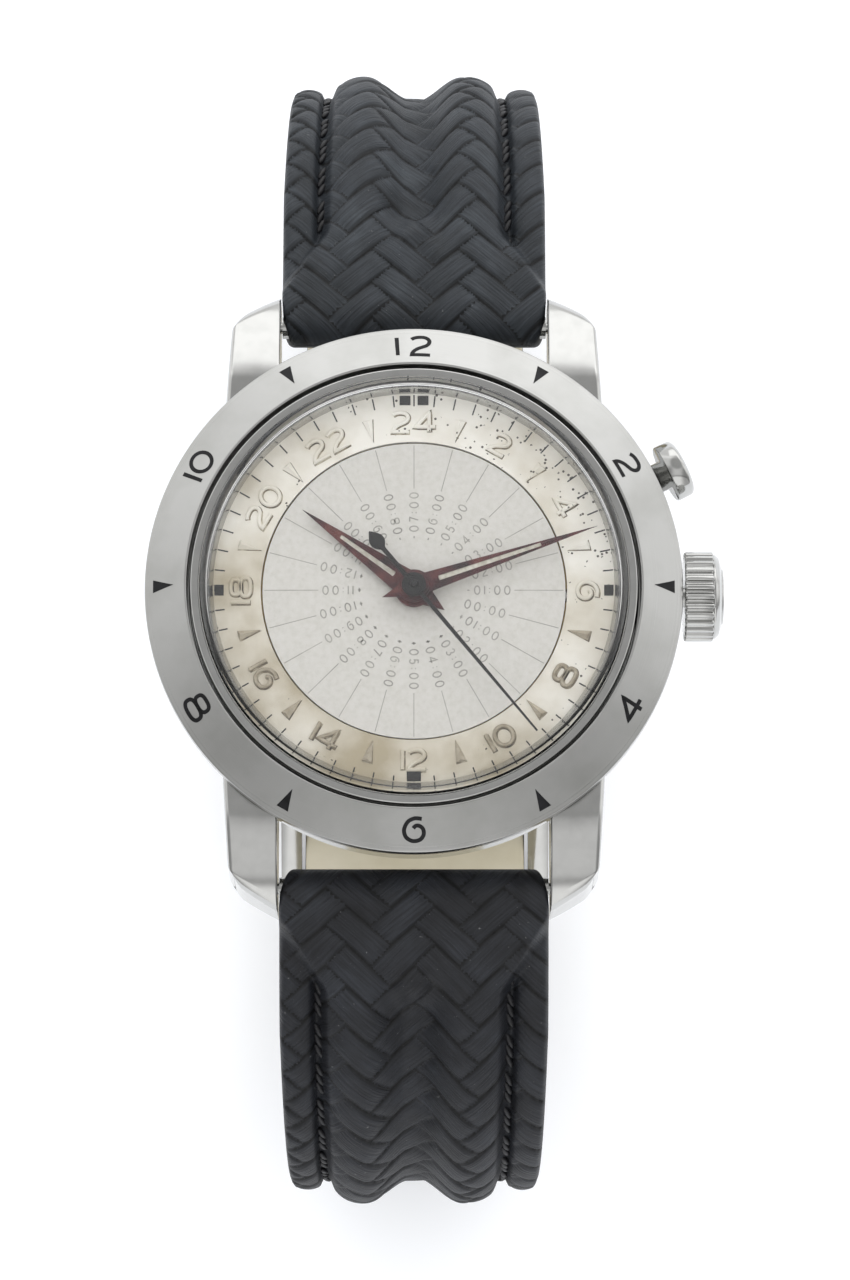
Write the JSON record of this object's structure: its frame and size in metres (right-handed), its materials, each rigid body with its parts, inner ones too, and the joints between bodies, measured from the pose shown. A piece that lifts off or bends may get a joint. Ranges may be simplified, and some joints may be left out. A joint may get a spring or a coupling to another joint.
{
  "type": "world time wristwatch",
  "caption": "Round wristwatch with a turning bezel, day-long outer dial ring, turning world time disc, geared hands, crown, side pusher and a closed padded strap with buckle and keepers.",
  "frame": {"origin": "middle of the case back's flat outer face, on the axis of the hands", "axes": "+Z out of the dial, +Y towards 12 o'clock, +X towards 3 o'clock and the crown"},
  "size_m": [0.0388, 0.0786, 0.0455],
  "materials": {
    "polished_steel": "polished",
    "brushed_steel": "brushed",
    "clear_acrylic": "clear, domed",
    "cream_lacquer": "satin",
    "silver_disc": "fine grained",
    "brass": "satin",
    "burgundy_enamel": "gloss",
    "black_enamel": "gloss",
    "black_rubber": "matte",
    "black_leather": "embossed, matte",
    "cream_leather": "matte"
  },
  "bodies": {
    "case": {"case_middle": "polished_steel", "case_back": "brushed_steel", "crystal": "clear_acrylic", "tension_ring": "polished_steel", "dial_ring": "cream_lacquer", "dial_wedges": "cream_lacquer", "main_plate": "brass", "train_bridge": "brass", "crown_tube": "polished_steel", "pusher_tube": "polished_steel", "spring_bars": "brushed_steel", "short_strap": "black_leather", "short_lining": "cream_leather", "long_strap": "black_leather", "long_lining": "cream_leather", "fixed_keeper": "black_leather", "buckle_bar": "brushed_steel"},
    "bezel": {"bezel": "brushed_steel"},
    "seconds": {"fourth_wheel": "brass", "seconds_hand": "black_enamel"},
    "minute": {"centre_wheel": "brass", "cannon_pinion": "polished_steel", "minute_hand": "burgundy_enamel"},
    "hour": {"hour_wheel": "brass", "hour_hand": "burgundy_enamel"},
    "world_disc": {"city_disc": "silver_disc", "city_wheel": "brass"},
    "third_wheel": {"third_wheel": "brass"},
    "minute_wheel": {"minute_wheel": "brass"},
    "relay_wheel": {"relay_wheel": "brass"},
    "crown_slide": {"crown_gasket": "black_rubber"},
    "crown": {"crown": "polished_steel", "winding_stem": "polished_steel"},
    "pusher": {"pusher": "polished_steel"},
    "buckle": {"buckle_frame": "brushed_steel"},
    "tongue": {"buckle_tongue": "brushed_steel"},
    "keeper": {"free_keeper": "black_leather"}
  },
  "joints": [
    {"name": "bezel_turn", "type": "hinge", "parent": "case", "child": "bezel", "pos_m": [0, 0, 0.008], "axis": [0, 0, 1], "continuous": true},
    {"name": "seconds_turn", "type": "hinge", "parent": "case", "child": "seconds", "pos_m": [0, 0, 0.0087], "axis": [0, 0, 1], "continuous": true},
    {"name": "minute_turn", "type": "hinge", "parent": "case", "child": "minute", "pos_m": [0, 0, 0.0081], "axis": [0, 0, 1], "continuous": true},
    {"name": "hour_turn", "type": "hinge", "parent": "case", "child": "hour", "pos_m": [0, 0, 0.0076], "axis": [0, 0, 1], "continuous": true},
    {"name": "disc_turn", "type": "hinge", "parent": "case", "child": "world_disc", "pos_m": [0, 0, 0.007], "axis": [0, 0, 1], "continuous": true},
    {"name": "third_wheel_turn", "type": "hinge", "parent": "case", "child": "third_wheel", "pos_m": [-0.00355, -0.00063, 0.004], "axis": [0, 0, 1], "continuous": true},
    {"name": "minute_wheel_turn", "type": "hinge", "parent": "case", "child": "minute_wheel", "pos_m": [-0.0017, 0.0017, 0.0058], "axis": [0, 0, 1], "continuous": true},
    {"name": "relay_wheel_turn", "type": "hinge", "parent": "case", "child": "relay_wheel", "pos_m": [-0.0017, -0.0017, 0.0063], "axis": [0, 0, 1], "continuous": true},
    {"name": "crown_pull", "type": "slide", "parent": "case", "child": "crown_slide", "axis": [1, 0, 0], "range_m": [0, 0.0009]},
    {"name": "crown_turn", "type": "hinge", "parent": "crown_slide", "child": "crown", "pos_m": [0.0185, 0, 0.0054], "axis": [1, 0, 0], "continuous": true},
    {"name": "pusher_press", "type": "slide", "parent": "case", "child": "pusher", "axis": [-0.8949, -0.4462, 0], "range_m": [0, 0.0008], "stiffness_N_per_m": 400},
    {"name": "buckle_swing", "type": "hinge", "parent": "case", "child": "buckle", "pos_m": [0, -0.005, -0.02905], "axis": [1, 0, 0], "range_deg": [0, 3]},
    {"name": "tongue_swing", "type": "hinge", "parent": "buckle", "child": "tongue", "pos_m": [0, -0.005, -0.02905], "axis": [1, 0, 0], "range_deg": [0, 8]},
    {"name": "keeper_slide", "type": "slide", "parent": "case", "child": "keeper", "axis": [0, 1, 0], "range_m": [-0.003, 0.008]}
  ],
  "couplings": [
    {"joint": "third_wheel_turn", "follows": "seconds_turn", "ratio": -0.13333},
    {"joint": "minute_turn", "follows": "seconds_turn", "ratio": 0.016667},
    {"joint": "minute_wheel_turn", "follows": "seconds_turn", "ratio": -0.0055556},
    {"joint": "hour_turn", "follows": "seconds_turn", "ratio": 0.0013889},
    {"joint": "relay_wheel_turn", "follows": "seconds_turn", "ratio": -0.0013889},
    {"joint": "disc_turn", "follows": "seconds_turn", "ratio": 0.00069444}
  ]
}
